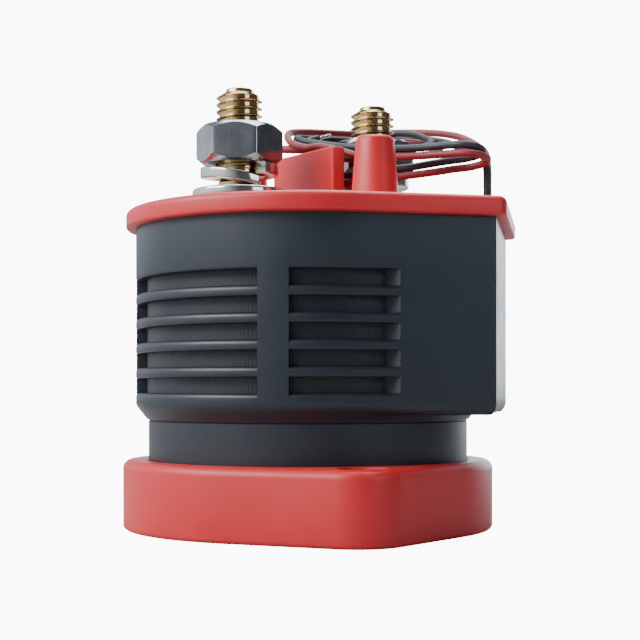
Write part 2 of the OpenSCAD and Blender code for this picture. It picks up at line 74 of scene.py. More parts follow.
camera_data = bpy.data.cameras.new("photo_camera")
camera_data.sensor_width = 36
camera_data.lens = FOCAL_PX / FRAME_PX * camera_data.sensor_width
camera_data.shift_y = (HORIZON_PX - FRAME_PX / 2) / FRAME_PX
camera_data.clip_start = 0.01
camera = bpy.data.objects.new("photo_camera", camera_data)
bpy.context.collection.objects.link(camera)
back = Vector((math.sin(VIEW_TURN), -math.cos(VIEW_TURN), 0))
right = Vector((math.cos(VIEW_TURN), math.sin(VIEW_TURN), 0))
camera.location = back * VIEW_DISTANCE + right * VIEW_SIDE + Vector((0, 0, VIEW_HEIGHT))
camera.rotation_euler = (math.radians(90), 0, VIEW_TURN)
bpy.context.scene.camera = camera
print("camera at", [round(v, 4) for v in camera.location], "lens", camera_data.lens)

# %% [markdown]
# ## Helpers for meshes
# Most pieces are turned, moulded or drawn, so three helpers make nearly all of them: rounded() turns the
# corners of a drawn line into arcs, loft() skins a run of rings, and piece() makes the object, puts it in the
# place of its CAD node and lets it ride on its body.

# %% Mesh helpers
def rounded(corners, closed=False, steps=5):
    """A flat line through (u, v, radius) corners, each turned with its own radius."""
    line = []
    for i, (u, v, radius) in enumerate(corners):
        here = Vector((u, v))
        is_end = not closed and i in (0, len(corners) - 1)
        if radius == 0 or is_end:
            line.append(here)
            continue
        before = (Vector(corners[i - 1][:2]) - here).normalized()
        after = (Vector(corners[(i + 1) % len(corners)][:2]) - here).normalized()
        half = before.angle(after) / 2
        middle = here + (before + after).normalized() * (radius / math.sin(half))
        start = here + before * (radius / math.tan(half)) - middle
        end = here + after * (radius / math.tan(half)) - middle
        first = math.atan2(start.y, start.x)
        sweep = (math.atan2(end.y, end.x) - first + math.pi) % math.tau - math.pi
        for k in range(steps + 1):
            angle = first + sweep * k / steps
            line.append(middle + radius * Vector((math.cos(angle), math.sin(angle))))
    return line


def loft(bm, rings, close_rings=False, cap_start=False, cap_end=False):
    """Skins rings of points, given in mm, with quads. Rings are closed loops of equal length."""
    rows = [[bm.verts.new(Vector(p) * MM) for p in ring] for ring in rings]
    count = len(rows[0])
    for i in range(len(rows) if close_rings else len(rows) - 1):
        low, high = rows[i], rows[(i + 1) % len(rows)]
        for k in range(count):
            bm.faces.new((low[k], low[(k + 1) % count], high[(k + 1) % count], high[k]))
    if cap_start:
        bm.faces.new(rows[0][::-1])
    if cap_end:
        bm.faces.new(rows[-1])
    return rows


def turned(bm, line, centre=(0, 0), segments=96, closed=False, cap_start=False, cap_end=False):
    """A turned shape from a line of (radius, height) points."""
    rings = []
    for r, z in line:
        ring = []
        for k in range(segments):
            angle = math.tau * k / segments
            ring.append((centre[0] + r * math.cos(angle), centre[1] + r * math.sin(angle), z))
        rings.append(ring)
    return loft(bm, rings, closed, cap_start, cap_end)


def piece(name, bm, materials, node, body="contactor", sharp=35):
    """Makes the mesh object, puts it in the place of its CAD node and lets it ride on its body."""
    bmesh.ops.remove_doubles(bm, verts=bm.verts, dist=1e-7)
    bmesh.ops.recalc_face_normals(bm, faces=bm.faces)
    mesh = bpy.data.meshes.new(name)
    bm.to_mesh(mesh)
    bm.free()
    mesh.shade_smooth()
    mesh.set_sharp_from_angle(angle=math.radians(sharp))
    obj = bpy.data.objects.new(name, mesh)
    bpy.context.collection.objects.link(obj)
    for material in materials:
        mesh.materials.append(material)
    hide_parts(node)
    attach(obj, body)
    print(name, "made with", len(mesh.polygons), "faces")
    return obj


# %% [markdown]
# ## Finishes
# A finish is a small node tree. Fine noise gives the moulded grain, slow noise lets colour and gloss drift a
# little over a surface, and the pointiness of the mesh pales the edges: partly wear where handling polishes
# them, partly a painted highlight.

# %% Node helpers
def new_finish(name):
    """An empty material with its shader and a helper that adds nodes."""
    material = bpy.data.materials.new(name)
    material.use_nodes = True
    tree = material.node_tree
    shader = tree.nodes["Principled BSDF"]

    def add(kind, inputs=None, **settings):
        node = tree.nodes.new(kind)
        for key, value in settings.items():
            setattr(node, key, value)
        for key, value in (inputs or {}).items():
            if isinstance(value, bpy.types.NodeSocket):
                tree.links.new(value, node.inputs[key])
            else:
                node.inputs[key].default_value = value
        return node

    def link(source, target):
        tree.links.new(source, target)

    return material, shader, add, link


def blended(add, factor, dark, light):
    """A colour that runs from dark to light with the factor."""
    mix = add("ShaderNodeMix", data_type="RGBA")
    mix.inputs[6].default_value = (*dark, 1)
    mix.inputs[7].default_value = (*light, 1)
    mix.id_data.links.new(factor, mix.inputs[0])
    return mix.outputs[2]


def ranged(add, value, low, high, start=0.3, end=0.7):
    """Maps the middle of a noise to a range."""
    node = add("ShaderNodeMapRange", {"Value": value, "From Min": start, "From Max": end,
                                      "To Min": low, "To Max": high})
    return node.outputs["Result"]


# %% Moulded plastic
def moulded(name, dark, light, edge, rough, grain=0.12, grain_scale=2600, lines=None):
    """Satin injection-moulded plastic with fine grain, slow drift of tone and paler edges, partly wear and
    partly a painted highlight.
    """
    material, shader, add, link = new_finish(name)
    place = add("ShaderNodeTexCoord").outputs["Object"]
    fine = add("ShaderNodeTexNoise", {"Vector": place, "Scale": grain_scale, "Detail": 3}).outputs["Fac"]
    slow = add("ShaderNodeTexNoise", {"Vector": place, "Scale": 90, "Detail": 4}).outputs["Fac"]
    drift = ranged(add, slow, 0, 1)
    tone = blended(add, drift, dark, light)
    # Paler edges where the mesh is pointy: partly wear, partly a painted highlight on every edge.
    edge_wear_and_highlight = add("ShaderNodeNewGeometry").outputs["Pointiness"]
    edge_wear_and_highlight = ranged(add, edge_wear_and_highlight, 0, 0.6, 0.52, 0.62)
    mix = add("ShaderNodeMix", data_type="RGBA")
    link(edge_wear_and_highlight, mix.inputs[0])
    link(tone, mix.inputs[6])
    mix.inputs[7].default_value = (*edge, 1)
    link(mix.outputs[2], shader.inputs["Base Color"])
    link(ranged(add, slow, rough[0], rough[1]), shader.inputs["Roughness"])
    height = fine
    if lines:
        turn = add("ShaderNodeTexGradient", {"Vector": place}, gradient_type="RADIAL").outputs["Fac"]
        stripe = add("ShaderNodeMath", {0: turn, 1: lines * math.tau}, operation="MULTIPLY").outputs[0]
        stripe = add("ShaderNodeMath", {0: stripe}, operation="SINE").outputs[0]
        height = add("ShaderNodeMath", {0: stripe, 1: fine}, operation="ADD").outputs[0]
    bump = add("ShaderNodeBump", {"Height": height, "Strength": grain, "Distance": 0.00006})
    link(bump.outputs["Normal"], shader.inputs["Normal"])
    return material


red_plastic = moulded("red_plastic", (0.58, 0.015, 0.019), (0.63, 0.021, 0.025), (0.68, 0.042, 0.046),
                      (0.38, 0.48))
black_plastic = moulded("black_plastic", (0.0085, 0.0125, 0.021), (0.0115, 0.0165, 0.026),
                        (0.03, 0.038, 0.052), (0.36, 0.46))
# Slot floors: darker than the wall, painted shade in the recesses, over their real fine moulded lines.
lined_slot_floor_painted_shade = moulded("lined_slot_floor_painted_shade", (0.0065, 0.0095, 0.0155), (0.009, 0.013, 0.02),
                             (0.014, 0.016, 0.02), (0.42, 0.55), 0.2, 2600, lines=260)
case_plastic = moulded("case_plastic", (0.0085, 0.012, 0.019), (0.0115, 0.0155, 0.023),
                       (0.0115, 0.0155, 0.023), (0.36, 0.46))
# Slot end faces: a much paler copy of the black plastic, painted light where the lamps leave them in shade.
slot_end_painted_light = moulded("slot_end_painted_light", (0.04, 0.045, 0.055), (0.05, 0.056, 0.066),
                           (0.06, 0.066, 0.076), (0.5, 0.6), 0.4, 1800)
print("moulded plastics ready")


# %% [markdown]
# ## Metals
# Turned metal carries fine rings around its own axis, so each metal finish takes the axis it was turned on.

# %% Turned metal
def turned_metal(name, dark, light, rough, axis=(0, 0), rings=4200, marks=0.08):
    """Plated metal with turning marks around an upright axis and a slow drift of tone."""
    material, shader, add, link = new_finish(name)
    place = add("ShaderNodeTexCoord").outputs["Object"]
    centred = add("ShaderNodeVectorMath", {0: place, 1: (axis[0] * MM, axis[1] * MM, 0)}, operation="SUBTRACT")
    centred = centred.outputs["Vector"]
    slow = add("ShaderNodeTexNoise", {"Vector": place, "Scale": 260, "Detail": 5}).outputs["Fac"]
    wave = add("ShaderNodeTexWave", {"Vector": centred, "Scale": rings, "Distortion": 1.5, "Detail": 2},
               wave_type="RINGS", rings_direction="Z").outputs["Fac"]
    link(blended(add, ranged(add, slow, 0, 1), dark, light), shader.inputs["Base Color"])
    link(ranged(add, slow, rough[0], rough[1]), shader.inputs["Roughness"])
    bump = add("ShaderNodeBump", {"Height": wave, "Strength": marks, "Distance": 0.00003})
    link(bump.outputs["Normal"], shader.inputs["Normal"])
    shader.inputs["Metallic"].default_value = 1
    return material


def insulation(name, dark, light):
    """Extruded lead insulation with a soft sheen and faint length-wise unevenness."""
    material, shader, add, link = new_finish(name)
    place = add("ShaderNodeTexCoord").outputs["Object"]
    slow = add("ShaderNodeTexNoise", {"Vector": place, "Scale": 320, "Detail": 3}).outputs["Fac"]
    fine = add("ShaderNodeTexNoise", {"Vector": place, "Scale": 5200, "Detail": 2}).outputs["Fac"]
    link(blended(add, ranged(add, slow, 0, 1), dark, light), shader.inputs["Base Color"])
    link(ranged(add, slow, 0.45, 0.58), shader.inputs["Roughness"])
    bump = add("ShaderNodeBump", {"Height": fine, "Strength": 0.06, "Distance": 0.00004})
    link(bump.outputs["Normal"], shader.inputs["Normal"])
    return material


red_insulation = insulation("red_insulation", (0.21, 0.021, 0.03), (0.27, 0.034, 0.045))
black_insulation = insulation("black_insulation", (0.018, 0.023, 0.034), (0.026, 0.032, 0.045))
tinned_strand = turned_metal("tinned_strand", (0.72, 0.71, 0.69), (0.86, 0.85, 0.83), (0.2, 0.3))
print("metals and insulation ready")

# %% [markdown]
# ## Coil leads
# Two thin limp leads come up through the grommet and are wound into a loose hank behind the right terminal.
# The route points are those of the CAD leads, in mm. A curve drawn smoothly through them, with a round bevel,
# is the lead; the stripped end is its own piece.

# %% Lead routes
LEAD_D = 1.3
LEAD_ROUTES = {
    "black": [
        (31.5, -1, 55.8), (31.5, -1, 59), (31.4, -1, 62), (30.6, 0.2, 64.6), (28.6, 3.6, 66),
        (26, 8.8, 67.5), (23, 14.5, 69.5), (18.6, 19.5, 71), (12.5, 22.5, 71.8), (6.4, 21.8, 71.6),
        (1.8, 18, 71.2), (-1.6, 13, 70.6), (-3.4, 8.4, 70), (-2.4, 4.6, 68.9), (0.6, 2, 67.9),
        (5, 0.2, 66.9), (10, -2.5, 66), (15.5, -4.2, 65.4), (20.5, -5.4, 65.2), (24.4, -6.9, 65.2),
        (27.8, -8.2, 65.1), (30, -7.4, 64.8), (31, -5.1, 64.5), (30, -2.8, 64.1), (27.8, -1.9, 63.7),
        (25, -2.5, 63.3), (22, -3.1, 62.8), (18, -3.3, 62.2), (13.5, -3, 61.9), (8.5, -1.5, 61.6),
        (4, 1.5, 61.6), (1, 6, 62.5), (0.8, 11, 64.3), (3, 15.5, 67), (7.5, 18.8, 70),
        (12.5, 18.9, 72.1), (16.5, 16.8, 71.6), (19.8, 12.5, 69.8), (21, 8, 68.3), (20, 3.5, 66.8),
        (16, 0.4, 66), (11, 0, 65.9), (6.2, 1.9, 66.2), (3, 3.4, 66.8), (0.4, 4.8, 67.4),
        (-1, 6.2, 68.2), (-1.7, 7.9, 69), (-1.3, 9.7, 69.8), (-0.3, 11.4, 70.4),
    ],
    "red": [
        (31.5, 1, 55.8), (31.5, 1, 59), (31.5, 1, 62), (31.1, 2.2, 65), (29.8, 5.4, 66.8),
        (27.4, 10.2, 69), (24.2, 16, 71), (19.4, 21, 72.5), (12.5, 24, 73.3), (5.8, 23.2, 73.1),
        (0.7, 19, 72.7), (-3.1, 13.5, 72), (-5, 8, 70.8), (-3.8, 3.2, 68.4), (-0.6, 0.6, 66.9),
        (2.2, -0.5, 66.8), (5.5, -1.6, 65.9), (10, -3.2, 64.5), (15.5, -4.5, 64), (20.5, -5.7, 63.8),
        (24.4, -7.2, 63.7), (28.4, -8.6, 63.6), (30.8, -7.6, 63.3), (31.8, -5.2, 63), (30.8, -2.8, 62.6),
        (28.4, -1.9, 62.2), (26, -2.4, 61.9), (22.4, -3.3, 61.3), (18, -3.6, 60.8), (13.5, -3.2, 60.5),
        (8.5, -1.8, 60.2), (4, 1, 60.2), (0.2, 6, 61), (-0.6, 11.5, 62.5), (2, 17, 64.8),
        (7.3, 20.2, 68.3), (13, 20.2, 70.5), (17.5, 17.6, 70.1), (21.3, 13, 68.3), (22.5, 8, 66.9),
        (21.3, 3, 65.4), (16.5, -0.9, 64.5), (11, -0.6, 64.4), (6.2, 0.9, 64.8), (1.6, 2.6, 66.2),
        (-2, 3.3, 67), (-4.8, 4.6, 67.4), (-6.4, 7.2, 67.8), (-5.6, 10.1, 68.2), (-3.6, 12, 68.4),
    ],
}


def smooth_route(points, per_span=10):
    """Points on a smooth curve through the route, a Catmull-Rom spline."""
    points = [Vector(p) for p in points]
    last = len(points) - 1
    curve = []
    for i in range(last):
        a, b = points[max(i - 1, 0)], points[i]
        c, d = points[i + 1], points[min(i + 2, last)]
        for k in range(per_span):
            t = k / per_span
            curve.append(0.5 * (2 * b + (c - a) * t + (2 * a - 5 * b + 4 * c - d) * t**2
                                + (3 * b - a - 3 * c + d) * t**3))
    curve.append(points[last])
    return curve


# %% Lay the leads
TIP_LENGTH = 3.6
STRAND_R = 0.125
STRAND_COUNT = 6


def stripped_tip(name, start, ahead, node):
    """Tinned strands with a slow twist, around a straight middle strand."""
    side = ahead.cross(Vector((0, 0, 1))).normalized()
    up = side.cross(ahead)
    bm = bmesh.new()
    for strand in range(STRAND_COUNT + 1):
        offset = 0 if strand == STRAND_COUNT else 2 * STRAND_R
        rings = []
        for i in range(13):
            along = TIP_LENGTH * i / 12
            turn = math.tau * (strand / STRAND_COUNT + 0.35 * i / 12)
            middle = start + ahead * along + offset * (math.cos(turn) * side + math.sin(turn) * up)
            rings.append([middle + STRAND_R * (math.cos(a) * side + math.sin(a) * up)
                          for a in (math.tau * k / 8 for k in range(8))])
        loft(bm, rings, cap_start=True, cap_end=True)
    return piece(name, bm, [tinned_strand], node)


for colour, finish in (("black", black_insulation), ("red", red_insulation)):
    line = smooth_route(LEAD_ROUTES[colour])
    data = bpy.data.curves.new("lead_" + colour, "CURVE")
    data.dimensions = "3D"
    data.bevel_depth = LEAD_D / 2 * MM
    data.bevel_resolution = 4
    data.use_fill_caps = True
    spline = data.splines.new("POLY")
    spline.points.add(len(line) - 1)
    for target, point in zip(spline.points, line):
        target.co = (*(point * MM), 1)
    data.materials.append(finish)
    lead = bpy.data.objects.new("coil_lead_" + colour, data)
    bpy.context.collection.objects.link(lead)
    ahead = (line[-1] - line[-2]).normalized()
    tip = stripped_tip("stripped_end_" + colour, line[-1], ahead, "lead_tip_" + colour)
    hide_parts("lead_" + colour)
    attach(lead, "contactor")

# %% [markdown]
# ## Outlines
# The housing and the lid share one outline: a circle whose tangents are the flanks of the lead pocket.
# The base has its own: a circle with two ears, each joined by straight tangents.

# %% Housing and base outlines
BODY_R = 30.1
BLOCK_END = 33.9
BLOCK_HALF = 17.9
FLANK_TURN = math.atan2(BLOCK_HALF, BLOCK_END) + math.acos(BODY_R / math.hypot(BLOCK_END, BLOCK_HALF))


def heading(angle, length=1.0):
    """A flat vector of that length, pointing that way."""
    return Vector((math.cos(angle), math.sin(angle))) * length


def arc(centre, radius, start, end, steps):
    """Points on an arc, both ends included."""
    return [centre + heading(start + (end - start) * k / steps, radius) for k in range(steps + 1)]


def pocket_corner_line(grow, corner):
    """From the middle of the pocket's end face, round its corner on the +Y side, to where the flank starts."""
    normal = heading(FLANK_TURN)
    end, reach = BLOCK_END + grow, BODY_R + grow
    half = (reach - end * normal.x) / normal.y
    line = rounded([(end, 0, 0), (end, half, corner), (*(normal * reach), 0)], steps=6)
    return [Vector((end, half * k / 6)) for k in range(5)] + line[1:-1]


def body_outline(grow, corner, wall_steps=110):
    """The whole outline, counter-clockwise from the middle of the pocket's end face."""
    line = pocket_corner_line(grow, corner)
    round_wall = arc(Vector((0, 0)), BODY_R + grow, FLANK_TURN, math.tau - FLANK_TURN, wall_steps)
    return line + round_wall + [Vector((p.x, -p.y)) for p in line[:0:-1]]


BASE_R = 32.3
EAR_TURN = math.radians(-65)
EAR_REACH = 30
EAR_R = 8.7


def base_outline():
    """Counter-clockwise outline of the base with its two ears."""
    lean = math.acos((BASE_R - EAR_R) / EAR_REACH)
    line = []
    for turn in (EAR_TURN, EAR_TURN + math.pi):
        line += arc(heading(turn, EAR_REACH), EAR_R, turn - lean, turn + lean, 24)
        line += arc(Vector((0, 0)), BASE_R, turn + lean, turn + math.pi - lean, 60)
    return line


def outline_normals(line):
    """Outward directions at the points of a counter-clockwise outline."""
    normals = []
    for i, here in enumerate(line):
        along = line[(i + 1) % len(line)] - line[i - 1]
        normals.append(Vector((along.y, -along.x)).normalized())
    return normals


def skirt(line, edge):
    """Rings that follow an outline, with edge = (inset, height) points from bottom to top."""
    normals = outline_normals(line)
    return [[(*(p - n * inset), z) for p, n in zip(line, normals)] for inset, z in edge]


def circle(centre, radius, z, steps=64):
    """One ring of a hole."""
    return [(*(Vector(centre) + heading(math.tau * k / steps, radius)), z) for k in range(steps)]


def cap(bm, *loops):
    """Fills a flat face between loops of vertices, the first outside and the others holes."""
    edges = []
    for loop in loops:
        for k, vert in enumerate(loop):
            pair = (vert, loop[(k + 1) % len(loop)])
            edges.append(bm.edges.get(pair) or bm.edges.new(pair))
    bmesh.ops.triangle_fill(bm, edges=edges, use_beauty=True)


print("outline has", len(body_outline(0, 1)), "points, base", len(base_outline()))

# %% [markdown]
# ## Base
# The base is one red moulding with generous rounded edges. The black case sits in its round seat, and a metal
# bushing sits in each ear, so that a screw can't crush the plastic.

# %% Make the base
BASE_H = 12
BASE_FLOOR = 2.4
BASE_SOFT = 1.5
SEAT_R = 28.05
BUSHING_R = 4
BUSHING_BORE = 2.75
BUSHING_TOP = 11.6
MOUNT_R = 33.5
BUSHINGS = {"front": heading(EAR_TURN, MOUNT_R), "rear": -heading(EAR_TURN, MOUNT_R)}

bm = bmesh.new()
edge = rounded([(3, 0, 0), (0, 0, 0.8), (0, BASE_H, BASE_SOFT), (3, BASE_H, 0)], steps=6)[1:-1]
walls = loft(bm, skirt(base_outline(), edge))
seat = turned(bm, [(SEAT_R + 0.3, BASE_H), (SEAT_R, BASE_H - 0.3), (SEAT_R, BASE_FLOOR)], cap_end=True)
holes = []
for at in BUSHINGS.values():
    holes.append(loft(bm, [circle(at, BUSHING_R, BASE_H), circle(at, BUSHING_R, 0)]))
cap(bm, walls[-1], seat[0], *[hole[0] for hole in holes])
cap(bm, walls[0], *[hole[1] for hole in holes])
piece("red_base", bm, [red_plastic], "base_cup")

# %% Make the bushings
bushing_brass = turned_metal("bushing_brass", (0.62, 0.46, 0.2), (0.74, 0.58, 0.28), (0.2, 0.32))
for side, at in BUSHINGS.items():
    bm = bmesh.new()
    turned(bm, rounded([(BUSHING_BORE, 0, 0.3), (BUSHING_R, 0, 0.2), (BUSHING_R, BUSHING_TOP, 0.2),
                        (BUSHING_BORE, BUSHING_TOP, 0.3)], closed=True, steps=3), at, 64, closed=True)
    piece("ear_bushing_" + side, bm, [bushing_brass], "bushing_" + side)

# %% [markdown]
# ## Coil case
# The black neck under the louvres is the top of the coil case. It is a plain turned shape with a fine parting
# line where the mould halves met.

# %% Make the coil case
NECK_R = 27.9
NECK_TOP = 19
PARTING_Z = 18.75
PARTING_DEPTH = 0.12
CASE_BORE = 24.4
CASE_FLOOR = 4
SPIGOT_R = 25.5
SPIGOT_TOP = 21.2
AXIS_GAP = 0.5
bm = bmesh.new()
turned(bm, rounded([(CASE_BORE, CASE_FLOOR, 0), (CASE_BORE, SPIGOT_TOP, 0), (SPIGOT_R, SPIGOT_TOP, 0.2),
                    (SPIGOT_R, NECK_TOP, 0), (NECK_R, NECK_TOP, 0), (NECK_R, PARTING_Z + PARTING_DEPTH, 0),
                    (NECK_R - PARTING_DEPTH, PARTING_Z, 0), (NECK_R, PARTING_Z - PARTING_DEPTH, 0),
                    (NECK_R, BASE_FLOOR, 0.3), (AXIS_GAP, BASE_FLOOR, 0), (AXIS_GAP, CASE_FLOOR, 0)],
                   closed=True), segments=160, closed=True)
piece("coil_case_shell", bm, [case_plastic], "coil_case")

# %% [markdown]
# ## Louvred housing
# The housing wall is a grid. Each column is a point of the outline, and each row is a height with a depth: 0
# on the wall and the ribs, and the full slot depth on the slot floors. Columns outside the louvre windows
# ignore the depth, so the plain uprights stay flush with the ribs. Rows that fall together are merged.

# %% Housing grid
BODY_TOP = 51.8
BLOCK_Z = 20
SLOT_COUNT = 5
SLOT_PITCH = 4.25
SLOT_H = 2.5
SLOT_Z = 23.5
SLOT_FLOOR_R = 28.1
RIB_TOP_SOFT = 0.75
RIB_UNDER_SOFT = 0.4
CAVITY_R = 26.5
LIP_R = 25.6
POCKET_IN = (31.9, 15.9)
POCKET_CORNER = 0.5
FLOOR_Z = 21.2
WINDOWS = ((51.7, 53.5, 85.25, 85.25), (94.75, 94.75, 167.5, 167.5))


def wall_point(degrees):
    """A point of the flank or of the round wall behind it."""
    angle = math.radians(degrees)
    return heading(angle, BODY_R / math.cos(max(FLANK_TURN - angle, 0)))


def wall_run(start, end, step=2):
    """Points of the wall between two directions, both included."""
    steps = max(2, round((end - start) / step))
    return [wall_point(start + (end - start) * k / steps) for k in range(steps + 1)]


def housing_columns():
    """Outline points counter-clockwise, each with True where it lies in a louvre window."""
    line = pocket_corner_line(0, POCKET_CORNER)
    half = [(p, False) for p in line]
    angle = math.degrees(math.atan2(line[-1].y, line[-1].x)) + 1
    for start_out, start_in, end_in, end_out in WINDOWS:
        half += [(p, False) for p in wall_run(angle, start_out)]
        half += [(p, True) for p in wall_run(start_in, end_in)]
        angle = end_out
    half += [(p, False) for p in wall_run(angle, 180)]
    return half + [(Vector((p.x, -p.y)), window) for p, window in half[-2:0:-1]]


def slot_rows():
    """(height, depth) from the lowest slot to the highest, with rounded rib edges."""
    depth = BODY_R - SLOT_FLOOR_R
    turns = [math.radians(v) for v in (0, 22.5, 45, 67.5, 90)]
    bend = [(1 - math.sin(a), 1 - math.cos(a)) for a in turns]
    rows = []
    for i in range(SLOT_COUNT):
        low = SLOT_Z + i * SLOT_PITCH
        high = low + SLOT_H
        rows += [(low - RIB_TOP_SOFT * up, RIB_TOP_SOFT * into) for up, into in bend]
        rows += [(low, depth), (high, depth)]
        rows += [(high + RIB_UNDER_SOFT * up, RIB_UNDER_SOFT * into) for up, into in reversed(bend)]
    return rows


def inside(p):
    """The cavity wall's point opposite an outline point: a round cavity with a square pocket."""
    way = p.normalized()
    if way.x <= 0:
        return way * CAVITY_R
    pocket = min(POCKET_IN[0] / max(way.x, 0.001), POCKET_IN[1] / max(abs(way.y), 0.001))
    return way * max(CAVITY_R, pocket)


# %% Housing rows
columns = housing_columns()
normals = outline_normals([p for p, _ in columns])
NECK_START = NECK_R + 0.3
CONE_R = 29
ROUND_EDGE = ((0.9, 20.25), (0.55, 20.7), (0.2, 21.15), (0, 21.7))
POCKET_EDGE = ((1.6, BLOCK_Z), (0.8, 20.21), (0.21, 20.8), (0, 21.6))


def lower_row(round_edge, pocket_edge):
    """One row of the rounded lower edge, which is that of the round wall, of the pocket or a blend of both."""
    ring = []
    for (p, _), normal in zip(columns, normals):
        share = min((p.length - BODY_R) / 2, 1)
        inset, z = Vector(round_edge).lerp(Vector(pocket_edge), share)
        ring.append((*(p - normal * inset), z))
    return ring


rings = [[(*(p.normalized() * LIP_R), NECK_TOP) for p, _ in columns],
         [(*(p.normalized() * NECK_START), NECK_TOP) for p, _ in columns],
         [(*(p.normalized() * CONE_R), BLOCK_Z) for p, _ in columns]]
rings += [lower_row(*pair) for pair in zip(ROUND_EDGE, POCKET_EDGE)]
for z, depth in slot_rows():
    share = depth / (BODY_R - SLOT_FLOOR_R)
    cut = [share * (p.length - SLOT_FLOOR_R) if window else 0 for p, window in columns]
    rings.append([(*(p.normalized() * (p.length - c)), z) for (p, _), c in zip(columns, cut)])
rings += [[(*p, BODY_TOP) for p, _ in columns],
          [(*inside(p), BODY_TOP) for p, _ in columns],
          [(*inside(p), FLOOR_Z) for p, _ in columns],
          [(*(p.normalized() * LIP_R), FLOOR_Z) for p, _ in columns]]

# %% Give the slots painted shade on their floors and painted light on their ends
PAINTED_SHADE_SLOT_FLOORS = (CAVITY_R + 0.5, SLOT_FLOOR_R + 0.1)
PAINTED_LIGHT_SLOT_ENDS = (SLOT_FLOOR_R + 0.3, 30.7)
SLOT_TOP = SLOT_Z + SLOT_COUNT * SLOT_PITCH
bm = bmesh.new()
loft(bm, rings, close_rings=True)
for face in bm.faces:
    middle = face.calc_center_median() / MM
    if not SLOT_Z < middle.z < SLOT_TOP:
        continue
    out = middle.xy.length
    turn = abs(math.degrees(math.atan2(middle.y, middle.x)))
    # The slot floors take the darker finish, painted shade.
    if PAINTED_SHADE_SLOT_FLOORS[0] < out < PAINTED_SHADE_SLOT_FLOORS[1]:
        face.material_index = 1
    # The slot end faces of the first window take the paler finish, painted light.
    elif WINDOWS[0][0] < turn < WINDOWS[0][1] and PAINTED_LIGHT_SLOT_ENDS[0] < out < PAINTED_LIGHT_SLOT_ENDS[1]:
        face.material_index = 2
finishes = [black_plastic, lined_slot_floor_painted_shade, slot_end_painted_light]
piece("louvred_housing", bm, finishes, "housing", sharp=30)

# %% [markdown]
# ## Lid
# The lid overhangs the housing and has a softly rounded top edge. A barrier wall and two tapered pillars stand
# between the terminals, so that nothing laid across them can bridge the two.

# %% Make the lid
LID_OVER = 1.7
LID_TOP = 55
LID_CORNER = 2
BARRIER_TOP = 65.7
BARRIER_T = 2.7
BARRIER_HALF = 9.6
PILLAR_AT = 20
PILLAR_R = (4, 3.15)
STUD_AT = (10.107, 9.76)
STUDS = {"left": (-STUD_AT[0], -STUD_AT[1]), "right": STUD_AT}
STUD_HOLE = 5.1
GROMMET_AT = (31.4, 0)
GROMMET_HOLE = 2.2
BARRIER_TURN = math.radians(44 - 90)
SUNK_IN = 0.05

bm = bmesh.new()
edge = rounded([(3, BODY_TOP, 0), (0, BODY_TOP, 0.5), (0, LID_TOP, 1.1), (3, LID_TOP, 0)], steps=6)[1:-1]
walls = loft(bm, skirt(body_outline(LID_OVER, LID_CORNER), edge))
holes = [loft(bm, [circle(at, STUD_HOLE, z) for z in (LID_TOP, BODY_TOP)]) for at in STUDS.values()]
holes.append(loft(bm, [circle(GROMMET_AT, GROMMET_HOLE, z, 32) for z in (LID_TOP, BODY_TOP)]))
cap(bm, walls[-1], *[hole[0] for hole in holes])
cap(bm, walls[0], *[hole[1] for hole in holes])
along = heading(BARRIER_TURN)
across = Vector((-along.y, along.x)) * (BARRIER_T / 2)
ends = [along * BARRIER_HALF - across, along * BARRIER_HALF + across,
        along * -BARRIER_HALF + across, along * -BARRIER_HALF - across]
bar = rounded([(*p, 0.6) for p in ends], closed=True)
edge = rounded([(-0.6, LID_TOP - SUNK_IN, 0), (0, LID_TOP, 0.4), (0, BARRIER_TOP, 0.5), (1, BARRIER_TOP, 0)],
               steps=5)
loft(bm, skirt(bar, edge[:-1]), cap_start=True, cap_end=True)
for side in (-1, 1):
    line = rounded([(PILLAR_R[0] + 0.8, LID_TOP - SUNK_IN, 0), (PILLAR_R[0], LID_TOP, 0.6),
                    (PILLAR_R[1], BARRIER_TOP, 0.9), (0.4, BARRIER_TOP, 0)], steps=6)
    turned(bm, line, along * (side * PILLAR_AT), 64, cap_start=True, cap_end=True)
piece("red_lid", bm, [red_plastic], "lid")

# %% [markdown]
# ## Terminals
# Each terminal is a plated stud with a real M8 thread, a collar that seats on the lid, a flat washer, an open
# spring washer and a nut. The thread is a grid whose radius follows the turning angle and the height.

# %% Make the studs
THREAD_R = 3.95
THREAD_PITCH = 1.25
THREAD_DEPTH = 0.55
CREST = 0.08
FLANK = 0.36
THREAD_LOW = 58.4
STUD_TOP = 75.3
PILOT_H = 0.7
PILOT_R = 2.3
THREAD_TOP = STUD_TOP - PILOT_H
TIP_SLOPE = 1.64
PITCH_R = 3.6
FREE_Z = 69.3
COLLAR_R = 8.2
COLLAR_TOP = 56.5
SHANK_R = 5
SHANK = ((3.5, 44), (3.5, 47), (SHANK_R, 47), (SHANK_R, LID_TOP))


def thread_depth(phase):
    """Depth of a rolled thread along one pitch: a narrow crest, soft flanks and a wide root."""
    swing = abs((phase % 1) - 0.5) * 2
    flank = min(max((swing - CREST) / FLANK, 0), 1)
    return THREAD_DEPTH * (3 * flank**2 - 2 * flank**3) * 0.5 + THREAD_DEPTH * flank * 0.5


def stud_limit(z):
    """The stud's largest radius at a height: the pitch radius in the nut, and a chamfer near the tip."""
    if z < FREE_Z:
        return PITCH_R
    return min(THREAD_R, PILOT_R + 0.3 + (THREAD_TOP - z) * TIP_SLOPE)


